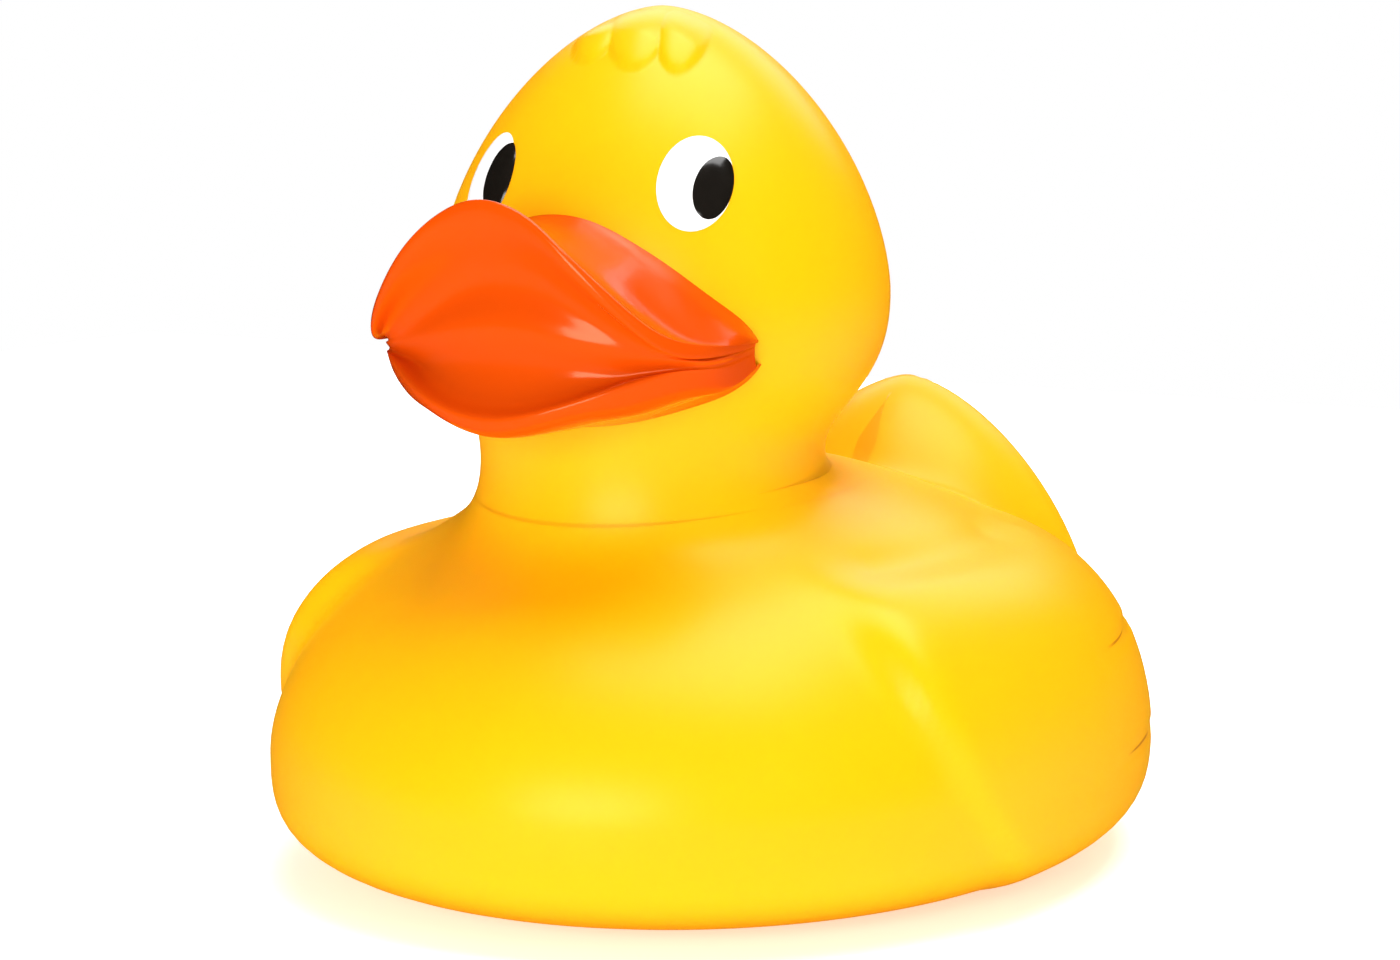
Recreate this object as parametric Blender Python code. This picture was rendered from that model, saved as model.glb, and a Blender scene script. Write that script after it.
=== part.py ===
"""A soft vinyl bath duck: one hollow moulding with a hole in its base, and the plug that closes it.

The duck faces -Y and rests on z = 0. Every length below is in millimetres and becomes metres in mesh().
Its form is a field: a number for each point, negative inside and zero on the skin. Egg forms
are blended by smin and smax, and the skin is found by rays that leave a spine inside the duck.
"""
import bpy
import bmesh
import numpy as np

MM = 0.001
WALL = 1.6              # thickness of the moulding
HOLE = 8.3              # radius of the hole in the base
PLUG = 8.0              # radius of the plug, 0.3 less than its hole
BODY_Y = -3.4           # where the body's middle lies along the duck
HEAD_Y = -14.1
NECK_Y = -17.2

# centre, half width, length forward and back, height up and down, fullness above and below
BODY = dict(at=(BODY_Y, 14.3), side=48.6, fore=55.4, aft=61.0, up=33.2, down=15.6, top=1.8, low=3.3)
FLANK = dict(at=(BODY_Y, 14.3), side=48.9, fore=63.6, aft=57.5, up=29.4, down=15.8, top=2.55, low=3.2)
NECK = dict(at=(NECK_Y, 44.0), side=18.7, fore=18.9, aft=18.9, up=18.1, down=22.0, top=4.0, low=4.0)
HEAD = dict(at=(HEAD_Y, 66.5), side=26.0, fore=24.0, aft=24.4, up=31.7, down=18.7, top=1.70, low=2.3)
TAIL = dict(at=(45.4, 21.9), side=24.6, fore=20.0, aft=11.9, up=29.8, down=20.0, top=1.52, low=2.0)
# the wing in the side view: its front and top, the corner between them, its feather lines and ends
WING = dict(front=-29.5, top=37.4, corner=16.0, back=33.0, splits=(26.5, 14.5))
# for each lock its middle and half sizes seen from above, and the turn that sweeps it aside
LOCKS = (
    ((-3.7, -21.6), (2.7, 4.6), 0.50),
    ((0.9, -20.4), (3.5, 6.6), 0.50),
    ((5.9, -19.2), (2.8, 6.0), 0.35),
)


def smin(a, b, k):
    """The lesser of a and b, with the corner between them filled over a width k."""
    h = np.maximum(k - np.abs(a - b), 0) / k
    return np.minimum(a, b) - h ** 3 * k / 6


def smax(a, b, k):
    """The greater of a and b, with the corner rounded off over a width k."""
    return -smin(-a, -b, k)


def egg(p, at, side, fore, aft, up, down, top, low):
    """Distance from an egg: (width and length)^m + height^m = 1, each half with its own size and m."""
    x, y, z = p[..., 0], p[..., 1] - at[0], p[..., 2] - at[1]
    ring = (x / side) ** 2 + (y / np.where(y < 0, fore, aft)) ** 2
    rise = np.abs(z) / np.where(z < 0, down, up)
    m = np.where(z < 0, low, top)
    k = ((ring + 1e-12) ** (m / 2) + (rise + 1e-9) ** m) ** (1 / m)
    return np.sqrt(x * x + y * y + z * z) * (1 - 1 / k)


def outline(p, front, top, corner, back, splits):
    """Distance from the wing's outline in the side view, the same at every x.

    The front edge slopes back by the square of the drop below its furthest point, and the rear
    end is cut into round feather tips by a cosine of the height.
    """
    y, z = p[..., 1], p[..., 2]
    fore = front + 0.028 * np.maximum(28 - z, 0) ** 2 - y
    tips = y - back - 2.0 * np.abs(np.cos(np.pi * (z - splits[0]) / (splits[0] - splits[1]) + np.pi / 2))
    return smax(smax(fore, z - top, corner), tips, 2.0)


def valley(p, beyond):
    """Depth of the hollow along the wing's top edge: a bell curve across it, 1.2 mm beyond the edge."""
    y, z = p[..., 1], p[..., 2]
    length = np.clip((20 - y) / 10, 0, 1) * np.clip((z - 35) / 2, 0, 1) * np.clip((42 - z) / 3, 0, 1)
    return 1.0 * length * np.exp(-((beyond - 1.2) / 1.6) ** 2)


def furrows(p, splits, start, end):
    """Depth of the lines between the wing's feathers, deepening from start to end along y."""
    y, z = p[..., 1], p[..., 2]
    deep = np.clip((y - start) / (end - start), 0, 1) * (np.abs(p[..., 0]) > 20)
    return sum(0.75 * deep * np.exp(-((z - split) / 0.55) ** 2) for split in splits)


def lock(p, at, size, turn):
    """How far one lock of the tuft stands out: a dome over a long ellipse, fading out backwards."""
    x, y = p[..., 0] - at[0], p[..., 1] - at[1]
    x, y = x * np.cos(turn) + y * np.sin(turn), y * np.cos(turn) - x * np.sin(turn)
    dome = np.maximum(1 - (x / size[0]) ** 2 - (y / size[1]) ** 2, 0)
    fade = np.clip((at[1] + 0.6 * size[1] - p[..., 1]) / size[1], 0, 1)
    return 1.1 * (dome + 1e-9) ** 0.4 * fade * (p[..., 2] > 84)


def duck(p):
    """The whole duck's field without its bill."""
    edge = outline(p, **WING)
    wing = smax(egg(p, **FLANK), edge, 4.0) + furrows(p, WING["splits"], 2.0, 20.0)
    low = smin(smin(egg(p, **BODY), wing, 4.2) + valley(p, edge), egg(p, **TAIL), 5.0)
    high = smin(egg(p, **HEAD), egg(p, **NECK), 9.0)
    tuft = np.max([lock(p, *each) for each in LOCKS], axis=0)
    return smax(smin(high - tuft, low, 10.5), -p[..., 2], 1.2)


def ease(v, stations):
    """A smooth curve through (v, value) stations that never overshoots them."""
    at, value = np.array(stations, float).T
    run = np.diff(at)
    rise = np.diff(value) / run
    slope = np.zeros(len(at))
    same = rise[1:] * rise[:-1] > 0
    slope[1:-1][same] = 2 / (1 / rise[1:][same] + 1 / rise[:-1][same])
    i = np.clip(np.searchsorted(at, v) - 1, 0, len(run) - 1)
    t = (v - at[i]) / run[i]
    bend = t * (1 - t)
    line = value[i] + (value[i + 1] - value[i]) * t * t * (3 - 2 * t)
    return line + bend * run[i] * (slope[i] * (1 - t) - slope[i + 1] * t)


def rays(around, v, first):
    """Origins and directions: v = 0 is the rim of the base hole, v = 1 the top of the head.

    around is the angle from the front towards +X. The rays rise through the body from a point
    in its middle, then that point climbs the neck. Towards the back it first goes round by the
    tail, so the skin is crossed at a fair angle everywhere.
    """
    back = (1 - np.cos(around)) / 2
    y = ease(v, ((0, 0), (0.46, 0), (0.52, -1), (0.58, -4), (0.64, -10), (0.69, -14), (0.73, -16),
                 (0.84, -14), (1, -14)))
    behind = ease(v, ((0, 0), (0.12, 0), (0.26, 14), (0.36, 38), (0.42, 41), (0.46, 40), (0.50, 34),
                      (0.54, 22), (0.58, 8), (0.64, -6), (0.69, -14), (0.73, -16), (0.84, -14), (1, -14)))
    z = ease(v, ((0, 12), (0.26, 12.5), (0.46, 14), (0.52, 17), (0.58, 24), (0.64, 34), (0.69, 42),
                 (0.73, 47), (0.84, 64), (1, 70)))
    above = ease(v, ((0, 12), (0.26, 13), (0.36, 24), (0.42, 28), (0.46, 28), (0.50, 24), (0.54, 20),
                     (0.58, 22), (0.64, 32), (0.69, 42), (0.73, 47), (0.84, 64), (1, 70)))
    fore = ease(v, ((0, first), (0.12, -28), (0.26, 5), (0.38, 20), (0.46, 30), (0.52, 34), (0.58, 30),
                    (0.64, 18), (0.69, 6), (0.73, 0), (0.84, 0), (1, 90)))
    aft = ease(v, ((0, first), (0.12, -28), (0.26, 10), (0.36, 45), (0.42, 80), (0.46, 104), (0.50, 100),
                   (0.54, 90), (0.58, 78), (0.64, 56), (0.69, 22), (0.73, 0), (0.84, 0), (1, 90)))
    lift = np.radians(fore * (1 - back) + aft * back)
    origin = np.stack([0 * lift, y * (1 - back) + behind * back, z * (1 - back) + above * back], -1)
    flat = np.cos(lift)
    return origin, np.stack([np.sin(around) * flat, -np.cos(around) * flat, np.sin(lift)], -1)


def cast(origin, way, level):
    """Where each ray first leaves field < level: steps out by 1.5 mm, then halves the last step."""
    reach = np.arange(60)[:, None, None] * 1.5
    field = duck(origin + reach[..., None] * way)
    near = np.argmax(field > level, axis=0) * 1.5 - 1.5
    far = near + 1.5
    for _ in range(24):
        middle = (near + far) / 2
        out = duck(origin + middle[..., None] * way) > level
        near, far = np.where(out, near, middle), np.where(out, middle, far)
    return origin + near[..., None] * way


def skin(columns, rows, level):
    """Rings of points from the base hole up, then the one point on top of the head."""
    first = -np.degrees(np.arctan((12 + level) / HOLE))
    around = np.linspace(0, 2 * np.pi, columns, endpoint=False)[None, :]
    share = np.linspace(0, 1, rows)
    v = np.interp(share, (0, 0.05, 0.50, 0.76, 1), (0, 0.12, 0.58, 0.90, 1))[:, None]
    points = cast(*rays(around, v, first), level)
    return points[:-1].reshape(-1, 3), points[-1, 0]


def mesh(name, points, faces, material):
    """A new object from points in millimetres and faces, smooth shaded."""
    data = bpy.data.meshes.new(name)
    data.from_pydata((np.asarray(points) * MM).tolist(), [], faces)
    data.shade_smooth()
    data.materials.append(material)
    body = bpy.data.objects.new(name, data)
    bpy.context.scene.collection.objects.link(body)
    return body


def ring_faces(start, columns, rows, turned):
    """Quads between rows of a closed grid whose points begin at start."""
    faces = []
    for j in range(rows - 1):
        for i in range(columns):
            k = (i + 1) % columns
            a, b = start + j * columns, start + (j + 1) * columns
            quad = (a + i, a + k, b + k, b + i)
            faces.append(quad[::-1] if turned else quad)
    return faces


def shell(name, material):
    """The hollow moulding: outer skin, inner skin 1.6 mm in, and the wall of the hole between them."""
    sizes = ((60, 52, 0.0), (36, 32, -WALL))
    points, faces, rims = [], [], []
    for turned, (columns, rows, level) in enumerate(sizes):
        rings, top = skin(columns, rows, level)
        start = len(points)
        points += rings.tolist() + [top.tolist()]
        faces += ring_faces(start, columns, rows - 1, turned)
        last = start + (rows - 2) * columns
        fan = [(last + i, last + (i + 1) % columns, start + len(rings)) for i in range(columns)]
        faces += [f[::-1] for f in fan] if turned else fan
        rims.append([start + i for i in range(columns)])
    faces += bridge(points, *rims)
    return mesh(name, points, faces, material)


def bridge(points, outer, inner):
    """Triangles between two rims of unlike count, stepping along whichever rim lags in angle."""
    faces, i, j = [], 0, 0
    while i < len(outer) or j < len(inner):
        a, b = outer[i % len(outer)], inner[j % len(inner)]
        if (i + 1) / len(outer) <= (j + 1) / len(inner):
            faces.append((a, b, outer[(i + 1) % len(outer)]))
            i += 1
        else:
            faces.append((a, b, inner[(j + 1) % len(inner)]))
            j += 1
    return faces


# the bill's curves, each from the middle of the bill to its corner through seven (x, y, z) places
BROW = [(0, -34.9, 76.7), (4.6, -34.8, 76.0), (9.0, -34.2, 74.0), (13.0, -33.0, 71.3), (16.7, -31.2, 68.1),
        (19.1, -29.3, 65.4), (20.1, -27.4, 63.0)]
SLOPE = [(0, -39.0, 75.2), (5.0, -38.8, 74.3), (9.8, -38.0, 72.0), (14.4, -36.6, 69.0), (18.2, -34.2, 66.0),
         (20.2, -31.0, 64.4), (20.6, -28.6, 62.9)]
VALLEY = [(0, -44.5, 75.3), (5.2, -44.2, 74.1), (10.0, -43.4, 71.0), (14.8, -41.2, 67.2),
          (18.9, -37.6, 64.5), (20.8, -33.2, 63.6), (20.7, -28.9, 62.9)]
SWELL = [(0, -48.8, 77.2), (5.4, -48.5, 75.6), (10.2, -48.2, 72.1), (14.9, -46.0, 67.5), (18.8, -42.4, 64.0),
         (20.9, -36.6, 63.1), (20.7, -29.1, 62.8)]
RIM = [(0, -50.8, 78.4), (5.4, -50.5, 76.8), (10.0, -50.3, 73.2), (14.6, -48.2, 68.4), (18.4, -44.4, 64.3),
       (20.7, -37.5, 63.0), (20.7, -29.3, 62.8)]
EDGE = [(0, -51.0, 77.6), (5.4, -50.7, 76.0), (10.1, -50.4, 72.4), (14.7, -48.3, 67.6), (18.5, -44.4, 63.5),
        (20.7, -37.6, 62.5), (20.7, -29.4, 62.6)]
FACE = [(0, -48.9, 73.6), (5.2, -48.5, 72.4), (9.9, -48.1, 69.6), (14.4, -46.4, 66.0), (18.2, -43.0, 62.9),
        (20.5, -36.9, 62.1), (20.6, -29.4, 62.4)]
PALATE = [(0, -46.9, 69.0), (5.0, -46.6, 68.2), (9.7, -46.0, 66.2), (14.3, -44.4, 63.8), (18.3, -41.5, 62.2),
          (20.6, -36.7, 61.9), (20.6, -29.4, 62.3)]
MOUTH = [(0, -46.9, 65.0), (5.0, -46.6, 64.5), (9.9, -45.5, 63.5), (14.5, -43.5, 62.2), (18.8, -40.9, 61.7),
         (20.8, -36.8, 61.7), (20.6, -29.4, 62.2)]
TONGUE = [(0, -46.5, 61.3), (5.0, -46.2, 61.1), (9.8, -45.2, 60.9), (14.2, -43.0, 60.9), (18.5, -40.7, 61.1),
          (20.6, -36.8, 61.3), (20.6, -29.4, 61.9)]
DISH = [(0, -48.3, 56.6), (5.2, -48.0, 57.1), (10.0, -46.4, 58.5), (13.9, -43.8, 59.9), (18.4, -41.4, 60.8),
        (20.6, -36.7, 60.9), (20.6, -29.4, 61.7)]
LOWER = [(0, -50.0, 55.6), (5.2, -49.6, 56.3), (10.0, -47.9, 57.8), (14.3, -45.1, 59.4), (18.3, -41.6, 60.5),
         (20.6, -36.6, 60.5), (20.6, -29.4, 61.4)]
UNDER = [(0, -49.9, 54.7), (5.2, -49.5, 55.5), (9.9, -47.9, 57.0), (14.2, -45.0, 58.3), (18.1, -41.4, 59.5),
         (20.4, -36.2, 59.6), (20.6, -29.3, 60.9)]
JAW = [(0, -43.0, 53.7), (5.0, -42.6, 54.0), (9.7, -41.0, 54.9), (13.9, -38.4, 56.1), (17.5, -35.4, 57.6),
       (19.9, -32.2, 58.8), (20.6, -28.8, 60.4)]
CHIN = [(0, -34.2, 53.0), (5.2, -33.8, 53.3), (9.9, -32.4, 54.2), (13.9, -30.2, 55.4), (17.0, -28.6, 56.8),
        (19.1, -27.4, 58.6), (20.3, -27.2, 60.2)]
LIPS = np.array([BROW, SLOPE, VALLEY, SWELL, RIM, EDGE, FACE, PALATE, MOUTH, TONGUE, DISH,
                 LOWER, UNDER, JAW, CHIN])


def bends(knots, values):
    """The second derivatives at the knots of the natural cubic spline through values."""
    n, h = len(knots), np.diff(knots)
    system, right = np.eye(n), np.zeros_like(values)
    for k in range(1, n - 1):
        system[k, k - 1:k + 2] = h[k - 1], 2 * (h[k - 1] + h[k]), h[k]
        right[k] = (values[k + 1] - values[k]) / h[k] - (values[k] - values[k - 1]) / h[k - 1]
    return np.tensordot(np.linalg.inv(system), 6 * right, 1)


def spline(t, knots, values):
    """The natural cubic spline through values at knots, at each t."""
    knots, values = np.asarray(knots, float), np.asarray(values, float)
    bend = bends(knots, values)
    i = np.clip(np.searchsorted(knots, t) - 1, 0, len(knots) - 2)
    shape = (-1,) + (1,) * (values.ndim - 1)
    width = np.diff(knots)[i].reshape(shape)
    b = ((t - knots[i]) / np.diff(knots)[i]).reshape(shape)
    a = 1 - b
    curve = (a ** 3 - a) * bend[i] + (b ** 3 - b) * bend[i + 1]
    return a * values[i] + b * values[i + 1] + curve * width ** 2 / 6


def lips(columns, rows):
    """A grid of points: a spline along each curve, mirrored about its middle, then across them."""
    mirrored = np.concatenate([LIPS[:, :0:-1] * (-1, 1, 1), LIPS], axis=1)
    places = np.linspace(-1, 1, mirrored.shape[1])
    along = spline(np.linspace(-1, 1, columns), places, mirrored.transpose(1, 0, 2)).transpose(1, 0, 2)
    gaps = np.linalg.norm(np.diff(LIPS[:, :5], axis=0), axis=-1).mean(axis=1)
    knots = np.concatenate([[0], np.cumsum(gaps)])
    return spline(np.linspace(0, knots[-1], rows), knots, along)


def bill(name, material, columns, rows):
    """The lips as a closed solid: their grid, shut behind by a fan to one point inside the head."""
    points = lips(columns, rows).reshape(-1, 3).tolist()
    faces = []
    for j in range(rows - 1):
        for i in range(columns - 1):
            a = j * columns + i
            faces.append((a, a + 1, a + columns + 1, a + columns))
    back = len(points)
    points.append([0, -27.0, 64.0])
    edge = list(range(columns)) + [j * columns + columns - 1 for j in range(1, rows)]
    edge += [(rows - 1) * columns + i for i in range(columns - 2, -1, -1)]
    edge += [j * columns for j in range(rows - 2, 0, -1)]
    faces += [(edge[k], back, edge[(k + 1) % len(edge)]) for k in range(len(edge))]
    return mesh(name, points, faces, material)


def paint(name, colour, rough):
    """A plain Principled material."""
    material = bpy.data.materials.new(name)
    material.use_nodes = True
    shader = material.node_tree.nodes["Principled BSDF"]
    shader.inputs["Base Color"].default_value = (*colour, 1)
    shader.inputs["Roughness"].default_value = rough
    return material


def plug(name, material):
    """The press-in plug: a turned profile, (radius, height), with a whistle bore up its middle."""
    profile = ((1.6, 0.5), (7.2, 0.5), (PLUG, 1.3), (PLUG, 1.8), (PLUG, 3.0), (PLUG + 0.5, 3.6),
               (PLUG - 0.8, 5.4), (6.4, 5.6), (5.2, 9.0), (4.8, 9.4), (1.6, 9.4))
    turns = 36
    angle = np.linspace(0, 2 * np.pi, turns, endpoint=False)
    points = [(r * np.cos(a), r * np.sin(a), z) for r, z in profile for a in angle]
    faces = ring_faces(0, turns, len(profile), False)
    last = (len(profile) - 1) * turns
    faces += [(last + i, last + (i + 1) % turns, (i + 1) % turns, i) for i in range(turns)]
    return mesh(name, points, faces, material)


def outward(body):
    """Turns every face of a closed object outwards."""
    work = bmesh.new()
    work.from_mesh(body.data)
    bmesh.ops.recalc_face_normals(work, faces=work.faces)
    if work.calc_volume(signed=True) < 0:
        bmesh.ops.reverse_faces(work, faces=work.faces)
    work.to_mesh(body.data)
    work.free()


def join(body, other):
    """A Boolean union of another closed object into this one."""
    added = body.modifiers.new("bill", "BOOLEAN")
    added.operation, added.solver, added.object = "UNION", "EXACT", other
    other.hide_render = True
    other.display_type = "WIRE"


def main():
    for old in list(bpy.data.objects):
        bpy.data.objects.remove(old)
    yellow = paint("yellow_vinyl", (0.99, 0.66, 0.01), 0.45)
    orange = paint("orange_paint", (0.93, 0.10, 0.01), 0.2)
    white = paint("squeaker_plastic", (0.85, 0.85, 0.82), 0.4)
    body = shell("duck_body", yellow)
    beak = bill("bill_form", orange, 29, 31)
    squeaker = plug("squeaker", white)
    for each in (body, beak, squeaker):
        outward(each)
    join(body, beak)


main()
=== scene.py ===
# %% [markdown]
# # A soft vinyl bath duck
#
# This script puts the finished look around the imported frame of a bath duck. The real thing is
# one hollow moulding in soft yellow vinyl, with a glossy orange bill and painted eyes.
# Lengths are worked out in millimetres and turned into metres when a mesh is made.
# %% The frame
import bpy
import numpy as np
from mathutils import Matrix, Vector


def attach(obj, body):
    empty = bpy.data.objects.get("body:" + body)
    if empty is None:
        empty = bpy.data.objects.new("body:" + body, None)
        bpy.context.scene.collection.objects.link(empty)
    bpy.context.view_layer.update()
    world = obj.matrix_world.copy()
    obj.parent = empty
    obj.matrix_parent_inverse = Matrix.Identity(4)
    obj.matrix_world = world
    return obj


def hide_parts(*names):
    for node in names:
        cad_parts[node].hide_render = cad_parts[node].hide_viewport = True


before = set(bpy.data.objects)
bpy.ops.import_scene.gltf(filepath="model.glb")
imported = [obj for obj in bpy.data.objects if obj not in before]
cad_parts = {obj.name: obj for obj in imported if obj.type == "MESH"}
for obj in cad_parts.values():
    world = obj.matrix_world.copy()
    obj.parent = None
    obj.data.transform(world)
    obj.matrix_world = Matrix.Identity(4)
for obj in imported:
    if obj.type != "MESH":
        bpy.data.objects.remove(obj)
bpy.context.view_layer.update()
MM = 0.001

# %% [markdown]
# ## Camera, lights and floor
#
# A product picture of a small glossy thing is taken from a little above, with a long lens, on a
# pale sweep, under large soft lamps. One could light it with an image of a studio, but then the
# highlights could not be moved. Separate lamps are used here, so each highlight has its lamp.
# %% The camera
look_at = np.array([-1.4, -3.4, 43.45]) * MM
azimuth, elevation, distance = np.radians(30.4), np.radians(7.94), 0.42
flat = np.cos(elevation)
away = np.array([np.sin(azimuth) * flat, -np.cos(azimuth) * flat, np.sin(elevation)])
lens = bpy.data.cameras.new("camera")
lens.sensor_width = 36
lens.lens = 36 * distance / 0.1624
camera = bpy.data.objects.new("camera", lens)
camera.location = look_at + distance * away
camera.rotation_euler = Vector(-away).to_track_quat("-Z", "Y").to_euler()
bpy.context.scene.collection.objects.link(camera)
bpy.context.scene.camera = camera
print("camera at", np.round(np.array(camera.location) / MM), "mm, lens", round(lens.lens, 1))


# %% The lamps
def lamp(name, place, aim, size, power, colour=(1, 1, 1)):
    """A rectangular area lamp at a place, turned to face another, both in millimetres."""
    data = bpy.data.lights.new(name, "AREA")
    data.shape, data.size, data.size_y = "RECTANGLE", size[0] * MM, size[1] * MM
    data.energy, data.color = power, colour
    light = bpy.data.objects.new(name, data)
    place, aim = np.array(place, float) * MM, np.array(aim, float) * MM
    light.location = place
    light.rotation_euler = Vector(aim - place).to_track_quat("-Z", "Y").to_euler()
    bpy.context.scene.collection.objects.link(light)
    return light


lamp("front_lamp", (130, -640, 150), (0, 0, 40), (380, 260), 2.8)
lamp("side_lamp", (560, -300, 300), (0, 0, 40), (260, 260), 0.5).visible_glossy = False
lamp("back_lamp", (-150, 470, 430), (0, 0, 40), (700, 300), 1.4)
lamp("top_lamp", (80, 20, 615), (0, 0, 40), (460, 460), 4.4)
world = bpy.data.worlds.new("studio")
world.use_nodes = True
nodes, links = world.node_tree.nodes, world.node_tree.links
# the world is white to the camera and dim as a light, as a pale sweep behind a duck is
path, level = nodes.new("ShaderNodeLightPath"), nodes.new("ShaderNodeMapRange")
level.inputs["To Min"].default_value, level.inputs["To Max"].default_value = 0.27, 1.0
links.new(path.outputs["Is Camera Ray"], level.inputs["Value"])
links.new(level.outputs["Result"], nodes["Background"].inputs["Strength"])
nodes["Background"].inputs["Color"].default_value = (1, 1, 1, 1)
world.cycles_visibility.glossy = False
bpy.context.scene.world = world
bpy.context.scene.view_settings.view_transform = "Standard"


# %% Putting numpy points into a mesh
def mesh(name, points, faces, material):
    """A new smooth object from an array of points in millimetres and an array of quads or triangles."""
    data = bpy.data.meshes.new(name)
    data.from_pydata((np.asarray(points, float) * MM).tolist(), [], [list(f) for f in faces])
    data.shade_smooth()
    data.materials.append(material)
    thing = bpy.data.objects.new(name, data)
    bpy.context.scene.collection.objects.link(thing)
    print(f"{name}: {len(data.vertices)} points, {len(data.polygons)} faces")
    return thing


def grid_faces(rows, columns, closed):
    """The quads of a grid of points in row order; closed joins its last column to its first."""
    i, j = np.meshgrid(np.arange(columns - (not closed)), np.arange(rows - 1))
    a, b = j * columns + i, j * columns + (i + 1) % columns
    return np.stack([a, b, b + columns, a + columns], -1).reshape(-1, 4)


# %% Node helpers
def material(name, colour, rough):
    """A Principled material of one colour and roughness; gives (material, shader, nodes, links)."""
    made = bpy.data.materials.new(name)
    made.use_nodes = True
    tree = made.node_tree
    shader = tree.nodes["Principled BSDF"]
    shader.inputs["Base Color"].default_value = (*colour, 1)
    shader.inputs["Roughness"].default_value = rough
    return made, shader, tree.nodes, tree.links


def speckle(nodes, links, scale, detail=2.0):
    """Noise on Object coordinates, whose scale counts grains per metre."""
    place = nodes.new("ShaderNodeTexCoord")
    noise = nodes.new("ShaderNodeTexNoise")
    noise.inputs["Scale"].default_value = scale
    noise.inputs["Detail"].default_value = detail
    links.new(place.outputs["Object"], noise.inputs["Vector"])
    return noise.outputs["Fac"]


def spread(nodes, links, source, low, high):
    """Maps a 0 to 1 value on to low to high."""
    node = nodes.new("ShaderNodeMapRange")
    node.inputs["To Min"].default_value, node.inputs["To Max"].default_value = low, high
    links.new(source, node.inputs["Value"])
    return node.outputs["Result"]


def dapple(nodes, links, shader, source, first, second):
    """Colours the shader between two close tints."""
    mix = nodes.new("ShaderNodeMix")
    mix.data_type = "RGBA"
    mix.inputs["A"].default_value, mix.inputs["B"].default_value = (*first, 1), (*second, 1)
    links.new(source, mix.inputs["Factor"])
    links.new(mix.outputs["Result"], shader.inputs["Base Color"])


def grain(nodes, links, shader, source, depth, strength=1.0):
    """Raises the surface by a value, depth metres at most."""
    bump = nodes.new("ShaderNodeBump")
    bump.inputs["Strength"].default_value = strength
    bump.inputs["Distance"].default_value = depth
    links.new(source, bump.inputs["Height"])
    links.new(bump.outputs["Normal"], shader.inputs["Normal"])


# %% The floor
paper, shader, nodes, links = material("floor_paper", (0.86, 0.86, 0.86), 0.9)
fibre = speckle(nodes, links, 400)
dapple(nodes, links, shader, fibre, (0.86, 0.855, 0.845), (0.87, 0.868, 0.862))
# the floor glows more with distance from the duck, so its edge melts into the background
place, far = nodes.new("ShaderNodeTexCoord"), nodes.new("ShaderNodeVectorMath")
far.operation = "LENGTH"
links.new(place.outputs["Object"], far.inputs[0])
glow = nodes.new("ShaderNodeMapRange")
glow.inputs["From Min"].default_value, glow.inputs["From Max"].default_value = 0.03, 0.15
glow.inputs["To Min"].default_value = 0.40
links.new(far.outputs["Value"], glow.inputs["Value"])
links.new(glow.outputs["Result"], shader.inputs["Emission Strength"])
shader.inputs["Emission Color"].default_value = (1, 1, 1, 1)
FLOOR_HALF = 450        # half the floor's side
across, along = np.meshgrid(*[np.linspace(-FLOOR_HALF, FLOOR_HALF, 9)] * 2)
places = np.stack([across, along, 0 * across], -1).reshape(-1, 3)
floor = mesh("floor", places, grid_faces(9, 9, False), paper)
floor.visible_glossy = False

# %% [markdown]
# ## The form of the duck
#
# A moulded toy has no edges to measure from: every part swells out of the next. It could be
# sculpted, but then nobody could say why a point is where it is. Here the form is a field, a
# number for each place that is negative inside and zero on the skin. Each egg form gives its own
# field, and a smooth minimum melts one into the next with a fillet of a chosen width. Metaballs
# work in the same way, but their fillets cannot be set one by one.
#
# The body and the flanks are two eggs of nearly one size, with the flank's cut to the outline of
# a wing, so that the wing stands out a little from the body.
# %% The egg forms
BODY_Y = -3.4           # where the body's middle lies along the duck
HEAD_Y = -14.1
NECK_Y = -17.2
# centre, half width, length forward and back, height up and down, fullness above and below
BODY = dict(at=(BODY_Y, 14.3), side=48.6, fore=55.4, aft=61.0, up=33.2, down=15.6, top=1.8, low=3.3)
FLANK = dict(at=(BODY_Y, 14.3), side=48.9, fore=63.6, aft=57.5, up=29.4, down=15.8, top=2.55, low=3.2)
NECK = dict(at=(NECK_Y, 44.0), side=18.7, fore=18.9, aft=18.9, up=18.1, down=22.0, top=4.0, low=4.0)
HEAD = dict(at=(HEAD_Y, 66.5), side=26.0, fore=24.0, aft=24.4, up=31.7, down=18.7, top=1.70, low=2.3)
TAIL = dict(at=(46.6, 21.9), side=25.6, fore=21.2, aft=10.6, up=29.3, down=20.0, top=1.58, low=2.0)
# the wing in the side view: its front and top, the corner between them, its feather lines and ends
WING = dict(front=-29.5, top=37.4, corner=16.0, back=33.0, splits=(26.5, 14.5))


def smin(a, b, k):
    """The lesser of a and b, with the corner between them filled over a width k."""
    h = np.maximum(k - np.abs(a - b), 0) / k
    return np.minimum(a, b) - h ** 3 * k / 6


def smax(a, b, k):
    """The greater of a and b, with the corner rounded off over a width k."""
    return -smin(-a, -b, k)


def egg(p, at, side, fore, aft, up, down, top, low):
    """Distance from an egg: (width and length)^m + height^m = 1, each half with its own size and m."""
    x, y, z = p[..., 0], p[..., 1] - at[0], p[..., 2] - at[1]
    ring = (x / side) ** 2 + (y / np.where(y < 0, fore, aft)) ** 2
    rise = np.abs(z) / np.where(z < 0, down, up)
    m = np.where(z < 0, low, top)
    k = ((ring + 1e-12) ** (m / 2) + (rise + 1e-9) ** m) ** (1 / m)
    return np.sqrt(x * x + y * y + z * z) * (1 - 1 / k)


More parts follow.
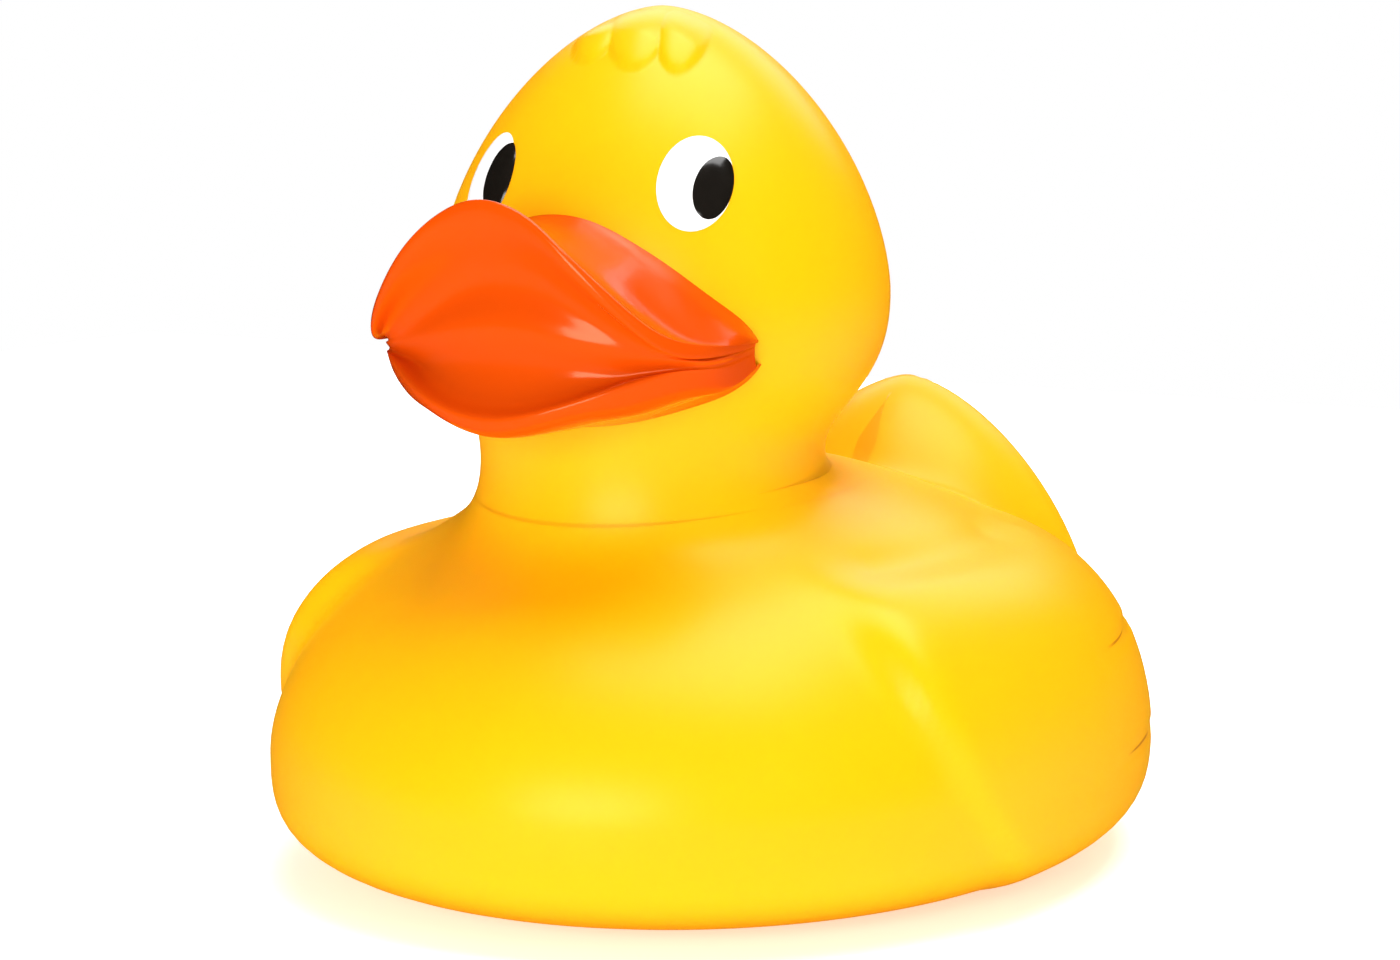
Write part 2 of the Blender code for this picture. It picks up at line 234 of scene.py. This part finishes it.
def outline(p, front, top, corner, back, splits):
    """Distance from the wing's outline in the side view, the same at every x.

    The front edge slopes back by the square of the drop below its furthest point, and the rear
    end is cut into round feather tips by a cosine of the height.
    """
    y, z = p[..., 1], p[..., 2]
    fore = front + 0.028 * np.maximum(28 - z, 0) ** 2 - y
    tips = y - back - 2.0 * np.abs(np.cos(np.pi * (z - splits[0]) / (splits[0] - splits[1]) + np.pi / 2))
    return smax(smax(fore, z - top, corner), tips, 2.0)


def valley(p, beyond):
    """Depth of the hollow along the wing's top edge: a bell curve, steep on the wing's side only."""
    y, z = p[..., 1], p[..., 2]
    length = np.clip((19 - y) / 10, 0, 1) * np.clip((y + 26) / 8, 0, 1) * np.clip((z - 34) / 2, 0, 1)
    return 0.8 * length * np.exp(-(beyond / np.where(beyond < 0, 0.7, 1.8)) ** 2)


def furrows(p, splits, start, end):
    """Depth of the lines between the wing's feathers, deepening from start to end along y."""
    y, z = p[..., 1], p[..., 2]
    deep = np.clip((y - start) / (end - start), 0, 1) * (np.abs(p[..., 0]) > 20)
    return sum(0.75 * deep * np.exp(-((z - split) / 0.55) ** 2) for split in splits)


# %% [markdown]
# ## The tuft
#
# Three short locks lie on the forehead. On the real duck they are carved into the mould, and not
# deeper than about a millimetre. Each is a low dome over a long ellipse, with a steep edge in front
# where the lock ends and none behind, where it grows out of the head. The domes are taken off
# the head's field, which is quicker than modelling locks of their own and leaves no seam.
# %% The tuft's locks
# for each lock its middle and half sizes seen from above, and the turn that sweeps it aside
LOCKS = (
    ((-3.7, -21.6), (2.7, 4.6), 0.50),
    ((0.9, -20.4), (3.5, 6.6), 0.50),
    ((5.9, -19.2), (2.8, 6.0), 0.35),
)


def lock(p, at, size, turn):
    """How far one lock of the tuft stands out: a dome over a long ellipse, fading out backwards."""
    x, y = p[..., 0] - at[0], p[..., 1] - at[1]
    x, y = x * np.cos(turn) + y * np.sin(turn), y * np.cos(turn) - x * np.sin(turn)
    dome = np.maximum(1 - (x / size[0]) ** 2 - (y / size[1]) ** 2, 0)
    fade = np.clip((at[1] + 0.6 * size[1] - p[..., 1]) / size[1], 0, 1)
    return 1.1 * (dome + 1e-9) ** 0.4 * fade * (p[..., 2] > 84)


def duck(p):
    """The whole duck's field without its bill."""
    edge = outline(p, **WING)
    wing = smax(egg(p, **FLANK), edge, 4.0) + furrows(p, WING["splits"], 2.0, 20.0)
    low = smin(smin(egg(p, **BODY), wing, 4.2) + valley(p, edge), egg(p, **TAIL), 5.0)
    high = smin(egg(p, **HEAD), egg(p, **NECK), 9.0)
    tuft = np.max([lock(p, *each) for each in LOCKS], axis=0)
    return smax(smin(high - tuft, low, 10.5), -p[..., 2], 1.2)


# %% [markdown]
# ## From field to skin
#
# A field has no mesh yet. Marching cubes would give one, but with a point wherever a cube happens
# to meet the skin, and a mesh like that shows in the highlights of a smooth toy. Instead rays
# are sent out from a spine inside the duck, in rows that run round it, and each row of hits is a
# ring of the mesh. The faces between rings have four sides, and a fan closes the crown.
# %% Rays from a spine
def ease(v, stations):
    """A smooth curve through (v, value) stations that never overshoots them."""
    at, value = np.array(stations, float).T
    run = np.diff(at)
    rise = np.diff(value) / run
    slope = np.zeros(len(at))
    same = rise[1:] * rise[:-1] > 0
    slope[1:-1][same] = 2 / (1 / rise[1:][same] + 1 / rise[:-1][same])
    i = np.clip(np.searchsorted(at, v) - 1, 0, len(run) - 1)
    t = (v - at[i]) / run[i]
    line = value[i] + (value[i + 1] - value[i]) * t * t * (3 - 2 * t)
    return line + t * (1 - t) * run[i] * (slope[i] * (1 - t) - slope[i + 1] * t)


def rays(around, v, first):
    """Origins and directions: v = 0 is the rim of the base hole, v = 1 the top of the head.

    around is the angle from the front towards +X. The rays rise through the body from a point
    in its middle, then that point climbs the neck. Towards the back it first goes round by the
    tail, so the skin is crossed at a fair angle everywhere.
    """
    back = (1 - np.cos(around)) / 2
    y = ease(v, ((0, 0), (0.46, 0), (0.52, -1), (0.58, -4), (0.64, -10), (0.69, -14), (0.73, -16),
                 (0.84, -14), (1, -14)))
    behind = ease(v, ((0, 0), (0.12, 0), (0.26, 14), (0.36, 38), (0.42, 41), (0.46, 40), (0.50, 34),
                      (0.54, 22), (0.58, 8), (0.64, -6), (0.69, -14), (0.73, -16), (0.84, -14), (1, -14)))
    z = ease(v, ((0, 12), (0.26, 12.5), (0.46, 14), (0.52, 17), (0.58, 24), (0.64, 34), (0.69, 42),
                 (0.73, 47), (0.84, 64), (1, 70)))
    above = ease(v, ((0, 12), (0.26, 13), (0.36, 24), (0.42, 28), (0.46, 28), (0.50, 24), (0.54, 20),
                     (0.58, 22), (0.64, 32), (0.69, 42), (0.73, 47), (0.84, 64), (1, 70)))
    fore = ease(v, ((0, first), (0.12, -28), (0.26, 5), (0.38, 20), (0.46, 30), (0.52, 34), (0.58, 30),
                    (0.64, 18), (0.69, 6), (0.73, 0), (0.84, 0), (1, 90)))
    aft = ease(v, ((0, first), (0.12, -28), (0.26, 10), (0.36, 45), (0.42, 80), (0.46, 104), (0.50, 100),
                   (0.54, 90), (0.58, 78), (0.64, 56), (0.69, 22), (0.73, 0), (0.84, 0), (1, 90)))
    lift = np.radians(fore * (1 - back) + aft * back)
    origin = np.stack([0 * lift, y * (1 - back) + behind * back, z * (1 - back) + above * back], -1)
    flat = np.cos(lift)
    return origin, np.stack([np.sin(around) * flat, -np.cos(around) * flat, np.sin(lift)], -1)


def cast(origin, way, level, reach=90.0):
    """Where each ray first leaves field < level: steps out by 1.5 mm, then halves the last step."""
    near = np.zeros(way.shape[:-1])
    inside = np.ones(near.shape, bool)
    for step in np.arange(1.5, reach, 1.5):
        inside &= duck(origin + step * way) < level
        near[inside] = step
    far = near + 1.5
    for _ in range(20):
        middle = (near + far) / 2
        out = duck(origin + middle[..., None] * way) > level
        near, far = np.where(out, near, middle), np.where(out, middle, far)
    return origin + near[..., None] * way


# %% [markdown]
# ## The vinyl
#
# Such a moulding is usually soft PVC, cast in a turning mould: the colour is in the plastic, its surface is
# a little matt, and light goes a few millimetres into it, which keeps the shaded side warm.
# A Principled shader with some subsurface does this. The yellow has almost no blue in it, and the
# faint grain is noise on Object coordinates, so it stays with the duck when the duck moves.
#
# Two lines on each wing divide its feathers. They are furrows in the form, but a furrow this thin
# is finer than the mesh, so the shade in a short stretch of each is painted on as a darker colour as well.
# %% Feather lines
def band(nodes, links, value, middle, half):
    """1 where a value is within half of the middle, falling to 0 at twice that."""
    less, size, fade = (nodes.new("ShaderNode" + kind) for kind in ("Math", "Math", "MapRange"))
    less.operation, size.operation = "SUBTRACT", "ABSOLUTE"
    less.inputs[1].default_value = middle
    links.new(value, less.inputs[0])
    links.new(less.outputs["Value"], size.inputs[0])
    fade.inputs["From Min"].default_value, fade.inputs["From Max"].default_value = half, 2 * half
    fade.inputs["To Min"].default_value, fade.inputs["To Max"].default_value = 1, 0
    links.new(size.outputs["Value"], fade.inputs["Value"])
    return fade.outputs["Result"]


def both(nodes, links, first, second, operation="MULTIPLY"):
    """Two values multiplied, or joined by another operation."""
    node = nodes.new("ShaderNodeMath")
    node.operation = operation
    links.new(first, node.inputs[0])
    links.new(second, node.inputs[1])
    return node.outputs["Value"]


# %% Yellow vinyl
vinyl, shader, nodes, links = material("yellow_vinyl", (0.98, 0.43, 0.001), 0.36)
tint = nodes.new("ShaderNodeMix")
tint.data_type = "RGBA"
tint.inputs["A"].default_value = (0.975, 0.42, 0.001, 1)
tint.inputs["B"].default_value = (0.985, 0.44, 0.001, 1)
links.new(speckle(nodes, links, 60), tint.inputs["Factor"])
place, axes = nodes.new("ShaderNodeTexCoord"), nodes.new("ShaderNodeSeparateXYZ")
links.new(place.outputs["Object"], axes.inputs["Vector"])
SLIT = dict(half=0.09, middle=13.5, reach=3.5, side=30)  # half width, where along Y, how far, least |x|
upper, lower = (band(nodes, links, axes.outputs["Z"], split * MM, SLIT["half"] * MM)
                for split in WING["splits"])
slits = both(nodes, links, upper, lower, "MAXIMUM")
along = band(nodes, links, axes.outputs["Y"], SLIT["middle"] * MM, SLIT["reach"] * MM)
slits = both(nodes, links, slits, along)
sides = both(nodes, links, axes.outputs["X"], axes.outputs["X"])
wide = nodes.new("ShaderNodeMath")
wide.operation = "GREATER_THAN"
wide.inputs[1].default_value = (SLIT["side"] * MM) ** 2
links.new(sides, wide.inputs[0])
slits = both(nodes, links, slits, wide.outputs["Value"])
# painted shade: the feather slits are coloured darker where their thin furrows would hold shadow
painted_slit_shade = nodes.new("ShaderNodeMix")
painted_slit_shade.data_type = "RGBA"
painted_slit_shade.inputs["B"].default_value = (0.60, 0.17, 0.001, 1)
links.new(slits, painted_slit_shade.inputs["Factor"])
links.new(tint.outputs["Result"], painted_slit_shade.inputs["A"])
links.new(painted_slit_shade.outputs["Result"], shader.inputs["Base Color"])
pores = speckle(nodes, links, 2600, 3)
links.new(spread(nodes, links, pores, 0.32, 0.40), shader.inputs["Roughness"])
shader.inputs["Specular IOR Level"].default_value = 0.3
grain(nodes, links, shader, pores, 0.00002, 0.25)
shader.inputs["Specular Tint"].default_value = (1, 0.85, 0.45, 1)
shader.inputs["Subsurface Weight"].default_value = 0.25
shader.inputs["Subsurface Scale"].default_value = 0.004
shader.inputs["Subsurface Radius"].default_value = (1.0, 0.5, 0.1)
print("vinyl:", vinyl.name, "with feather lines at", WING["splits"], "mm")

# %% [markdown]
# ## The skin
#
# 360 points a ring and 270 rings put a point about every millimetre. The rows are closest at the
# crown, where the tuft is. The skin is laid 0.06 mm inside the form.
# %% The moulding's skin
columns, rows = 360, 270
around = np.linspace(0, 2 * np.pi, columns, endpoint=False)[None, :]
v = np.interp(np.linspace(0, 1, rows), (0, 0.05, 0.45, 0.70, 1), (0, 0.12, 0.58, 0.90, 1))[:, None]
inset = -0.06           # millimetres outside the form: below zero is inside it
BASE_HOLE = 8.3         # radius of the hole in the base
first = -np.degrees(np.arctan((12 + inset) / BASE_HOLE))  # the rays start 12 mm above the hole
skin = cast(*rays(around, v, first), inset)
rings, top = skin[:-1].reshape(-1, 3), skin[-1, :1]
faces = grid_faces(rows - 1, columns, True).tolist()
last = (rows - 2) * columns
faces += [(last + i, last + (i + 1) % columns, len(rings)) for i in range(columns)]
body = mesh("duck_skin", np.concatenate([rings, top]), faces, vinyl)
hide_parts("duck_body")
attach(body, "root")

# %% [markdown]
# ## The bill
#
# The bill belongs to the same moulding, and is sprayed orange through a mask. Its paint is much
# glossier than the vinyl, so the mask's edge is a clear line. The form is open like a scoop: a
# brow that rises between the eyes, a wide rim curling up, an upper and a lower inner face that
# meet in a soft ridge where a mouth would be, and a rolled lower lip.
#
# Egg forms cannot make such a scoop. It is drawn instead as fifteen curves that run from the
# middle to the corner of the mouth, each with seven places, and one smooth sheet is passed
# through all of them. Its edges end inside the head, so the head's skin trims it.
# %% Orange paint
gloss, shader, nodes, links = material("orange_paint", (0.62, 0.060, 0.001), 0.18)
cloud = speckle(nodes, links, 90)
dapple(nodes, links, shader, cloud, (0.61, 0.058, 0.001), (0.63, 0.062, 0.001))
links.new(spread(nodes, links, speckle(nodes, links, 900), 0.15, 0.21), shader.inputs["Roughness"])
shader.inputs["Specular IOR Level"].default_value = 0.3
shader.inputs["Specular Tint"].default_value = (1, 0.7, 0.4, 1)
shader.inputs["Coat Weight"].default_value = 0.1
shader.inputs["Coat Roughness"].default_value = 0.1
print("paint:", gloss.name)


# %% Curves of the lips
def spline(t, knots, values):
    """The natural cubic spline through values at knots: the second bends solve a small linear system."""
    knots, values = np.asarray(knots, float), np.asarray(values, float)
    n, h = len(knots), np.diff(knots)
    system, right = np.eye(n), np.zeros_like(values)
    for k in range(1, n - 1):
        system[k, k - 1:k + 2] = h[k - 1], 2 * (h[k - 1] + h[k]), h[k]
        right[k] = 6 * ((values[k + 1] - values[k]) / h[k] - (values[k] - values[k - 1]) / h[k - 1])
    bend = np.tensordot(np.linalg.inv(system), right, 1)
    i = np.clip(np.searchsorted(knots, t) - 1, 0, n - 2)
    shape = (-1,) + (1,) * (values.ndim - 1)
    a, b, w = (each.reshape(shape) for each in ((knots[i + 1] - t) / h[i], (t - knots[i]) / h[i], h[i]))
    curve = (a ** 3 - a) * bend[i] + (b ** 3 - b) * bend[i + 1]
    return a * values[i] + b * values[i + 1] + curve * w * w / 6


# each curve runs from the middle of the bill to its corner, as (x, y, z) at the same seven places
BROW = [(0, -34.9, 76.7), (4.6, -34.8, 76.0), (9.0, -34.2, 74.0), (13.0, -33.0, 71.3), (16.7, -31.2, 68.1),
        (19.1, -29.3, 65.4), (20.1, -27.4, 63.0)]
SLOPE = [(0, -39.0, 75.2), (5.0, -38.8, 74.3), (9.8, -38.0, 72.0), (14.4, -36.6, 69.0), (18.2, -34.2, 66.0),
         (20.2, -31.0, 64.4), (20.6, -28.6, 62.9)]
VALLEY = [(0, -44.5, 75.3), (5.2, -44.2, 74.1), (10.0, -43.4, 71.0), (14.8, -41.2, 67.2), (18.9, -37.6, 64.5),
          (20.8, -33.2, 63.6), (20.7, -28.9, 62.9)]
SWELL = [(0, -48.8, 77.2), (5.4, -48.5, 75.6), (10.2, -48.2, 72.1), (14.9, -46.0, 67.5), (18.8, -42.4, 64.0),
         (20.9, -36.6, 63.1), (20.7, -29.1, 62.8)]
RIM = [(0, -50.8, 78.4), (5.4, -50.5, 76.8), (10.0, -50.3, 73.2), (14.6, -48.2, 68.4), (18.4, -44.4, 64.3),
       (20.7, -37.5, 63.0), (20.7, -29.3, 62.8)]
EDGE = [(0, -51.0, 77.6), (5.4, -50.7, 76.0), (10.1, -50.4, 72.4), (14.7, -48.3, 67.6), (18.5, -44.4, 63.5),
        (20.7, -37.6, 62.5), (20.7, -29.4, 62.6)]
FACE = [(0, -48.9, 73.6), (5.2, -48.5, 72.4), (9.9, -48.1, 69.6), (14.4, -46.4, 66.0), (18.2, -43.0, 62.9),
        (20.5, -36.9, 62.1), (20.6, -29.4, 62.4)]
PALATE = [(0, -46.5, 69.0), (5.0, -46.2, 68.2), (9.7, -45.7, 66.2), (14.3, -44.2, 63.8), (18.3, -41.4, 62.2),
          (20.6, -36.7, 61.9), (20.6, -29.4, 62.3)]
MOUTH = [(0, -47.3, 65.0), (5.0, -47.0, 64.5), (9.9, -45.9, 63.5), (14.5, -43.8, 62.3), (18.8, -41.0, 61.8),
         (20.8, -36.8, 61.7), (20.6, -29.4, 62.2)]
TONGUE = [(0, -46.3, 61.3), (5.0, -46.0, 61.1), (9.8, -45.0, 60.9), (14.2, -42.9, 60.9), (18.5, -40.6, 61.1),
          (20.6, -36.8, 61.3), (20.6, -29.4, 61.9)]
DISH = [(0, -48.3, 56.6), (5.2, -48.0, 57.1), (10.0, -46.4, 58.5), (13.9, -43.8, 59.9), (18.4, -41.4, 60.8),
        (20.6, -36.7, 60.9), (20.6, -29.4, 61.7)]
LOWER = [(0, -50.0, 55.6), (5.2, -49.6, 56.3), (10.0, -47.9, 57.8), (14.3, -45.1, 59.4), (18.3, -41.6, 60.5),
         (20.6, -36.6, 60.5), (20.6, -29.4, 61.4)]
UNDER = [(0, -49.9, 54.7), (5.2, -49.5, 55.5), (9.9, -47.9, 57.0), (14.2, -45.0, 58.3), (18.1, -41.4, 59.5),
         (20.4, -36.2, 59.6), (20.6, -29.3, 60.9)]
JAW = [(0, -43.0, 53.7), (5.0, -42.6, 54.0), (9.7, -41.0, 54.9), (13.9, -38.4, 56.1), (17.5, -35.4, 57.6),
       (19.9, -32.2, 58.8), (20.6, -28.8, 60.4)]
CHIN = [(0, -34.2, 53.0), (5.2, -33.8, 53.3), (9.9, -32.4, 54.2), (13.9, -30.2, 55.4), (17.0, -28.6, 56.8),
        (19.1, -27.4, 58.6), (20.3, -27.2, 60.2)]
LIPS = np.array([BROW, SLOPE, VALLEY, SWELL, RIM, EDGE, FACE, PALATE, MOUTH, TONGUE, DISH,
                 LOWER, UNDER, JAW, CHIN])


def lips(columns, rows):
    """The bill's skin: a spline along each curve, mirrored about its middle, then splines across them.

    The splines across count their knots by the mean distance from one curve to the next.
    """
    mirrored = np.concatenate([LIPS[:, :0:-1] * (-1, 1, 1), LIPS], axis=1)
    places = np.linspace(-1, 1, mirrored.shape[1])
    along = spline(np.linspace(-1, 1, columns), places, mirrored.transpose(1, 0, 2)).transpose(1, 0, 2)
    gaps = np.linalg.norm(np.diff(LIPS[:, :5], axis=0), axis=-1).mean(axis=1)
    knots = np.concatenate([[0], np.cumsum(gaps)])
    return spline(np.linspace(0, knots[-1], rows), knots, along)


columns, rows = 241, 301
sheet = lips(columns, rows)
bill = mesh("bill", sheet.reshape(-1, 3), grid_faces(rows, columns, False)[:, ::-1], gloss)
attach(bill, "root")

# %% [markdown]
# ## The eyes
#
# The eyes are flat spots of enamel, white and then black, that follow the head. A texture would
# do, but its edge would be only as sharp as the image in it, and it would need a map of the head.
# Each spot is a small disc of its own here, cast on to the head by the same rays. It stands proud
# by a few tenths of a millimetre, with an edge that dips under the skin.
# %% Eye paints
def enamel(name, first, second, rough):
    """Glossy paint with a faint brushed unevenness."""
    made, shader, nodes, links = material(name, first, rough)
    cloud = speckle(nodes, links, 700)
    dapple(nodes, links, shader, cloud, first, second)
    links.new(spread(nodes, links, cloud, rough, rough + 0.06), shader.inputs["Roughness"])
    return made


white = enamel("white_paint", (0.95, 0.95, 0.94), (0.98, 0.98, 0.975), 0.25)
black = enamel("black_paint", (0.006, 0.005, 0.004), (0.010, 0.008, 0.006), 0.12)
print("enamels:", white.name, black.name)


# %% Painted spots
def spot(name, side, middle, size, tilt, proud, paint):
    """A painted ellipse on the head.

    Its points are an ellipse in the plane that touches the head at the eye, pushed along rays
    from inside the head on to the skin, and proud of it by a low dome that falls to nothing at its edge.
    """
    rings, turns = 24, 96
    angles = np.linspace(0, 2 * np.pi, turns, endpoint=False)
    r, a = np.meshgrid(np.linspace(0, 1, rings), angles, indexing="ij")
    u, w = size[0] * r * np.cos(a), size[1] * r * np.sin(a)
    u, w = middle[0] + u * np.cos(tilt) + w * np.sin(tilt), middle[1] + w * np.cos(tilt) - u * np.sin(tilt)
    origin = np.array([13.9, -30.6, 79.6])
    across, up = np.array([0.766, 0.643, 0.0]), np.array([-0.309, 0.368, 0.877])
    target = origin + u[..., None] * across + w[..., None] * up
    start = np.zeros_like(target) + np.array([0, HEAD_Y, 74.0])
    way = target - start
    way /= np.linalg.norm(way, axis=-1, keepdims=True)
    points = cast(start, way, 0.0, 45.0) + way * (proud * (1 - r ** 6) - 0.05)[..., None]
    points[..., 0] *= side
    faces = grid_faces(rings, turns, True)
    return mesh(name, points.reshape(-1, 3), faces if side < 0 else faces[:, ::-1], paint)


# for each eye its side of X, its name, where the white and the pupil lie, and the pupil's half width
EYES = ((1, "left", 0.1, (1.8, -0.5), 2.4), (-1, "right", -2.6, (-4.8, 0.3), 2.6))
for side, label, centre, pupil, wide in EYES:
    for piece, slot in (
        (spot(f"eye_white_{label}", side, (centre, 0), (4.15, 5.8), 0.30, 0.30, white), "white_paint"),
        (spot(f"pupil_{label}", side, pupil, (wide, 1.8 * wide), 0.33, 0.42, black), "black_paint"),
    ):
        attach(piece, "root")

# %% [markdown]
# ## The plug
#
# Underneath, a small hard plastic plug closes the moulding and lets the air whistle in and out.
# Its shape in the frame is already right, so it only gets its plastic here.
# %% The plug
plastic = enamel("plug_plastic", (0.80, 0.79, 0.74), (0.84, 0.83, 0.78), 0.4)
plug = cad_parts["squeaker"]
for place in plug.material_slots:
    place.material = plastic

# %% [markdown]
# ## The end
#
# The finished skin has to stay inside the frame's own box.
# %% The end
print("plug:", plug.name, "with", plastic.name)
